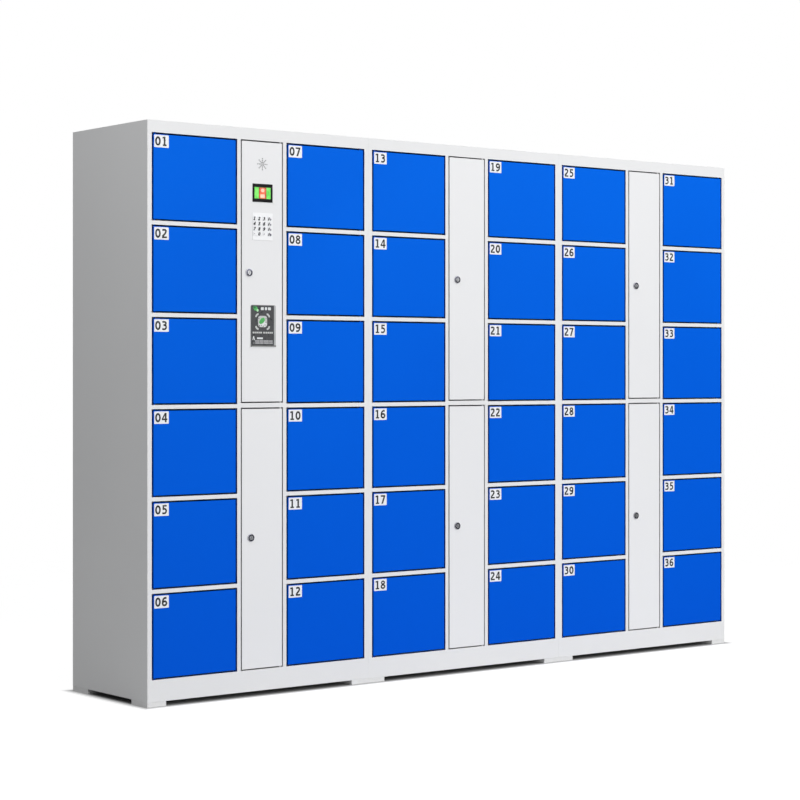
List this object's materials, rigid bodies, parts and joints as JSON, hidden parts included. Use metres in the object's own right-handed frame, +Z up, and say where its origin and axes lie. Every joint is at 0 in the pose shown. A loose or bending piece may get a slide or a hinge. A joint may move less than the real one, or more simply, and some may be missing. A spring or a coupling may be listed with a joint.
{
  "type": "locker",
  "caption": "Row of steel parcel lockers: blue compartment doors in numbered columns, pale service doors with cam locks, and a display, keypad and code reader on one of them.",
  "frame": {"origin": "centre of the whole row's footprint, on the floor under the feet", "axes": "+X along the row to the right as seen from the front, -Y out of the doors, +Z up"},
  "size_m": [2.55, 0.46, 1.8],
  "materials": {
    "blue_powder_coat": "satin",
    "white_powder_coat": "satin",
    "grey_powder_coat": "satin",
    "frame_powder_coat": "satin",
    "inner_powder_coat": "satin",
    "foot_plastic": "matte",
    "lock_body_plastic": "matte",
    "control_box_metal": "satin",
    "lock_metal": "polished",
    "bezel_plastic": "gloss",
    "screen_glass": "gloss",
    "keypad_plastic": "satin",
    "key_plastic": "satin",
    "reader_plastic": "satin",
    "speaker_plastic": "matte"
  },
  "bodies": {
    "cabinets": {"cabinet_shells": "grey_powder_coat", "face_frames": "frame_powder_coat", "compartment_dividers": "inner_powder_coat", "feet": "foot_plastic", "electronic_locks": "lock_body_plastic", "control_unit": "control_box_metal"},
    "door_01": {"door_01": "blue_powder_coat"},
    "door_02": {"door_02": "blue_powder_coat"},
    "door_03": {"door_03": "blue_powder_coat"},
    "door_04": {"door_04": "blue_powder_coat"},
    "door_05": {"door_05": "blue_powder_coat"},
    "door_06": {"door_06": "blue_powder_coat"},
    "door_07": {"door_07": "blue_powder_coat"},
    "door_08": {"door_08": "blue_powder_coat"},
    "door_09": {"door_09": "blue_powder_coat"},
    "door_10": {"door_10": "blue_powder_coat"},
    "door_11": {"door_11": "blue_powder_coat"},
    "door_12": {"door_12": "blue_powder_coat"},
    "service_door_1_upper": {"service_door_1_upper": "white_powder_coat", "display_bezel": "bezel_plastic", "display_screen": "screen_glass", "keypad_plate": "keypad_plastic", "reader": "reader_plastic", "speaker": "speaker_plastic"},
    "cam_lock_1_upper": {"cam_lock_1_upper": "lock_metal"},
    "service_door_1_lower": {"service_door_1_lower": "white_powder_coat"},
    "cam_lock_1_lower": {"cam_lock_1_lower": "lock_metal"},
    "door_13": {"door_13": "blue_powder_coat"},
    "door_14": {"door_14": "blue_powder_coat"},
    "door_15": {"door_15": "blue_powder_coat"},
    "door_16": {"door_16": "blue_powder_coat"},
    "door_17": {"door_17": "blue_powder_coat"},
    "door_18": {"door_18": "blue_powder_coat"},
    "door_19": {"door_19": "blue_powder_coat"},
    "door_20": {"door_20": "blue_powder_coat"},
    "door_21": {"door_21": "blue_powder_coat"},
    "door_22": {"door_22": "blue_powder_coat"},
    "door_23": {"door_23": "blue_powder_coat"},
    "door_24": {"door_24": "blue_powder_coat"},
    "service_door_2_upper": {"service_door_2_upper": "white_powder_coat"},
    "cam_lock_2_upper": {"cam_lock_2_upper": "lock_metal"},
    "service_door_2_lower": {"service_door_2_lower": "white_powder_coat"},
    "cam_lock_2_lower": {"cam_lock_2_lower": "lock_metal"},
    "door_25": {"door_25": "blue_powder_coat"},
    "door_26": {"door_26": "blue_powder_coat"},
    "door_27": {"door_27": "blue_powder_coat"},
    "door_28": {"door_28": "blue_powder_coat"},
    "door_29": {"door_29": "blue_powder_coat"},
    "door_30": {"door_30": "blue_powder_coat"},
    "door_31": {"door_31": "blue_powder_coat"},
    "door_32": {"door_32": "blue_powder_coat"},
    "door_33": {"door_33": "blue_powder_coat"},
    "door_34": {"door_34": "blue_powder_coat"},
    "door_35": {"door_35": "blue_powder_coat"},
    "door_36": {"door_36": "blue_powder_coat"},
    "service_door_3_upper": {"service_door_3_upper": "white_powder_coat"},
    "cam_lock_3_upper": {"cam_lock_3_upper": "lock_metal"},
    "service_door_3_lower": {"service_door_3_lower": "white_powder_coat"},
    "cam_lock_3_lower": {"cam_lock_3_lower": "lock_metal"},
    "keypad_keys": {"keypad_keys": "key_plastic"}
  },
  "joints": [
    {"name": "door_01_hinge", "type": "hinge", "parent": "cabinets", "child": "door_01", "pos_m": [-1.246, -0.22, 1.627], "axis": [0, 0, -1], "range_deg": [0, 90]},
    {"name": "door_02_hinge", "type": "hinge", "parent": "cabinets", "child": "door_02", "pos_m": [-1.246, -0.22, 1.344], "axis": [0, 0, -1], "range_deg": [0, 90]},
    {"name": "door_03_hinge", "type": "hinge", "parent": "cabinets", "child": "door_03", "pos_m": [-1.246, -0.22, 1.061], "axis": [0, 0, -1], "range_deg": [0, 90]},
    {"name": "door_04_hinge", "type": "hinge", "parent": "cabinets", "child": "door_04", "pos_m": [-1.246, -0.22, 0.778], "axis": [0, 0, -1], "range_deg": [0, 90]},
    {"name": "door_05_hinge", "type": "hinge", "parent": "cabinets", "child": "door_05", "pos_m": [-1.246, -0.22, 0.495], "axis": [0, 0, -1], "range_deg": [0, 90]},
    {"name": "door_06_hinge", "type": "hinge", "parent": "cabinets", "child": "door_06", "pos_m": [-1.246, -0.22, 0.215], "axis": [0, 0, -1], "range_deg": [0, 90]},
    {"name": "door_07_hinge", "type": "hinge", "parent": "cabinets", "child": "door_07", "pos_m": [-0.454, -0.22, 1.627], "axis": [0, 0, 1], "range_deg": [0, 90]},
    {"name": "door_08_hinge", "type": "hinge", "parent": "cabinets", "child": "door_08", "pos_m": [-0.454, -0.22, 1.344], "axis": [0, 0, 1], "range_deg": [0, 90]},
    {"name": "door_09_hinge", "type": "hinge", "parent": "cabinets", "child": "door_09", "pos_m": [-0.454, -0.22, 1.061], "axis": [0, 0, 1], "range_deg": [0, 90]},
    {"name": "door_10_hinge", "type": "hinge", "parent": "cabinets", "child": "door_10", "pos_m": [-0.454, -0.22, 0.778], "axis": [0, 0, 1], "range_deg": [0, 90]},
    {"name": "door_11_hinge", "type": "hinge", "parent": "cabinets", "child": "door_11", "pos_m": [-0.454, -0.22, 0.495], "axis": [0, 0, 1], "range_deg": [0, 90]},
    {"name": "door_12_hinge", "type": "hinge", "parent": "cabinets", "child": "door_12", "pos_m": [-0.454, -0.22, 0.215], "axis": [0, 0, 1], "range_deg": [0, 90]},
    {"name": "service_door_1_upper_hinge", "type": "hinge", "parent": "cabinets", "child": "service_door_1_upper", "pos_m": [-0.7775, -0.2225, 1.3455], "axis": [0, 0, 1], "range_deg": [0, 90]},
    {"name": "cam_lock_1_upper_turn", "type": "hinge", "parent": "service_door_1_upper", "child": "cam_lock_1_upper", "pos_m": [-0.9, -0.217, 1.342], "axis": [0, 1, 0], "range_deg": [0, 90]},
    {"name": "service_door_1_lower_hinge", "type": "hinge", "parent": "cabinets", "child": "service_door_1_lower", "pos_m": [-0.7775, -0.2225, 0.4985], "axis": [0, 0, 1], "range_deg": [0, 90]},
    {"name": "cam_lock_1_lower_turn", "type": "hinge", "parent": "service_door_1_lower", "child": "cam_lock_1_lower", "pos_m": [-0.893, -0.217, 0.502], "axis": [0, 1, 0], "range_deg": [0, 90]},
    {"name": "door_13_hinge", "type": "hinge", "parent": "cabinets", "child": "door_13", "pos_m": [-0.396, -0.22, 1.627], "axis": [0, 0, -1], "range_deg": [0, 90]},
    {"name": "door_14_hinge", "type": "hinge", "parent": "cabinets", "child": "door_14", "pos_m": [-0.396, -0.22, 1.344], "axis": [0, 0, -1], "range_deg": [0, 90]},
    {"name": "door_15_hinge", "type": "hinge", "parent": "cabinets", "child": "door_15", "pos_m": [-0.396, -0.22, 1.061], "axis": [0, 0, -1], "range_deg": [0, 90]},
    {"name": "door_16_hinge", "type": "hinge", "parent": "cabinets", "child": "door_16", "pos_m": [-0.396, -0.22, 0.778], "axis": [0, 0, -1], "range_deg": [0, 90]},
    {"name": "door_17_hinge", "type": "hinge", "parent": "cabinets", "child": "door_17", "pos_m": [-0.396, -0.22, 0.495], "axis": [0, 0, -1], "range_deg": [0, 90]},
    {"name": "door_18_hinge", "type": "hinge", "parent": "cabinets", "child": "door_18", "pos_m": [-0.396, -0.22, 0.215], "axis": [0, 0, -1], "range_deg": [0, 90]},
    {"name": "door_19_hinge", "type": "hinge", "parent": "cabinets", "child": "door_19", "pos_m": [0.396, -0.22, 1.627], "axis": [0, 0, 1], "range_deg": [0, 90]},
    {"name": "door_20_hinge", "type": "hinge", "parent": "cabinets", "child": "door_20", "pos_m": [0.396, -0.22, 1.344], "axis": [0, 0, 1], "range_deg": [0, 90]},
    {"name": "door_21_hinge", "type": "hinge", "parent": "cabinets", "child": "door_21", "pos_m": [0.396, -0.22, 1.061], "axis": [0, 0, 1], "range_deg": [0, 90]},
    {"name": "door_22_hinge", "type": "hinge", "parent": "cabinets", "child": "door_22", "pos_m": [0.396, -0.22, 0.778], "axis": [0, 0, 1], "range_deg": [0, 90]},
    {"name": "door_23_hinge", "type": "hinge", "parent": "cabinets", "child": "door_23", "pos_m": [0.396, -0.22, 0.495], "axis": [0, 0, 1], "range_deg": [0, 90]},
    {"name": "door_24_hinge", "type": "hinge", "parent": "cabinets", "child": "door_24", "pos_m": [0.396, -0.22, 0.215], "axis": [0, 0, 1], "range_deg": [0, 90]},
    {"name": "service_door_2_upper_hinge", "type": "hinge", "parent": "cabinets", "child": "service_door_2_upper", "pos_m": [0.0725, -0.2225, 1.3455], "axis": [0, 0, 1], "range_deg": [0, 90]},
    {"name": "cam_lock_2_upper_turn", "type": "hinge", "parent": "service_door_2_upper", "child": "cam_lock_2_upper", "pos_m": [-0.043, -0.217, 1.342], "axis": [0, 1, 0], "range_deg": [0, 90]},
    {"name": "service_door_2_lower_hinge", "type": "hinge", "parent": "cabinets", "child": "service_door_2_lower", "pos_m": [0.0725, -0.2225, 0.4985], "axis": [0, 0, 1], "range_deg": [0, 90]},
    {"name": "cam_lock_2_lower_turn", "type": "hinge", "parent": "service_door_2_lower", "child": "cam_lock_2_lower", "pos_m": [-0.043, -0.217, 0.502], "axis": [0, 1, 0], "range_deg": [0, 90]},
    {"name": "door_25_hinge", "type": "hinge", "parent": "cabinets", "child": "door_25", "pos_m": [0.454, -0.22, 1.627], "axis": [0, 0, -1], "range_deg": [0, 90]},
    {"name": "door_26_hinge", "type": "hinge", "parent": "cabinets", "child": "door_26", "pos_m": [0.454, -0.22, 1.344], "axis": [0, 0, -1], "range_deg": [0, 90]},
    {"name": "door_27_hinge", "type": "hinge", "parent": "cabinets", "child": "door_27", "pos_m": [0.454, -0.22, 1.061], "axis": [0, 0, -1], "range_deg": [0, 90]},
    {"name": "door_28_hinge", "type": "hinge", "parent": "cabinets", "child": "door_28", "pos_m": [0.454, -0.22, 0.778], "axis": [0, 0, -1], "range_deg": [0, 90]},
    {"name": "door_29_hinge", "type": "hinge", "parent": "cabinets", "child": "door_29", "pos_m": [0.454, -0.22, 0.495], "axis": [0, 0, -1], "range_deg": [0, 90]},
    {"name": "door_30_hinge", "type": "hinge", "parent": "cabinets", "child": "door_30", "pos_m": [0.454, -0.22, 0.215], "axis": [0, 0, -1], "range_deg": [0, 90]},
    {"name": "door_31_hinge", "type": "hinge", "parent": "cabinets", "child": "door_31", "pos_m": [1.246, -0.22, 1.627], "axis": [0, 0, 1], "range_deg": [0, 90]},
    {"name": "door_32_hinge", "type": "hinge", "parent": "cabinets", "child": "door_32", "pos_m": [1.246, -0.22, 1.344], "axis": [0, 0, 1], "range_deg": [0, 90]},
    {"name": "door_33_hinge", "type": "hinge", "parent": "cabinets", "child": "door_33", "pos_m": [1.246, -0.22, 1.061], "axis": [0, 0, 1], "range_deg": [0, 90]},
    {"name": "door_34_hinge", "type": "hinge", "parent": "cabinets", "child": "door_34", "pos_m": [1.246, -0.22, 0.778], "axis": [0, 0, 1], "range_deg": [0, 90]},
    {"name": "door_35_hinge", "type": "hinge", "parent": "cabinets", "child": "door_35", "pos_m": [1.246, -0.22, 0.495], "axis": [0, 0, 1], "range_deg": [0, 90]},
    {"name": "door_36_hinge", "type": "hinge", "parent": "cabinets", "child": "door_36", "pos_m": [1.246, -0.22, 0.215], "axis": [0, 0, 1], "range_deg": [0, 90]},
    {"name": "service_door_3_upper_hinge", "type": "hinge", "parent": "cabinets", "child": "service_door_3_upper", "pos_m": [0.9225, -0.2225, 1.3455], "axis": [0, 0, 1], "range_deg": [0, 90]},
    {"name": "cam_lock_3_upper_turn", "type": "hinge", "parent": "service_door_3_upper", "child": "cam_lock_3_upper", "pos_m": [0.807, -0.217, 1.342], "axis": [0, 1, 0], "range_deg": [0, 90]},
    {"name": "service_door_3_lower_hinge", "type": "hinge", "parent": "cabinets", "child": "service_door_3_lower", "pos_m": [0.9225, -0.2225, 0.4985], "axis": [0, 0, 1], "range_deg": [0, 90]},
    {"name": "cam_lock_3_lower_turn", "type": "hinge", "parent": "service_door_3_lower", "child": "cam_lock_3_lower", "pos_m": [0.807, -0.217, 0.502], "axis": [0, 1, 0], "range_deg": [0, 90]},
    {"name": "keypad_keys_press", "type": "slide", "parent": "service_door_1_upper", "child": "keypad_keys", "axis": [0, 1, 0], "range_m": [0, 0.001], "stiffness_N_per_m": 600}
  ]
}
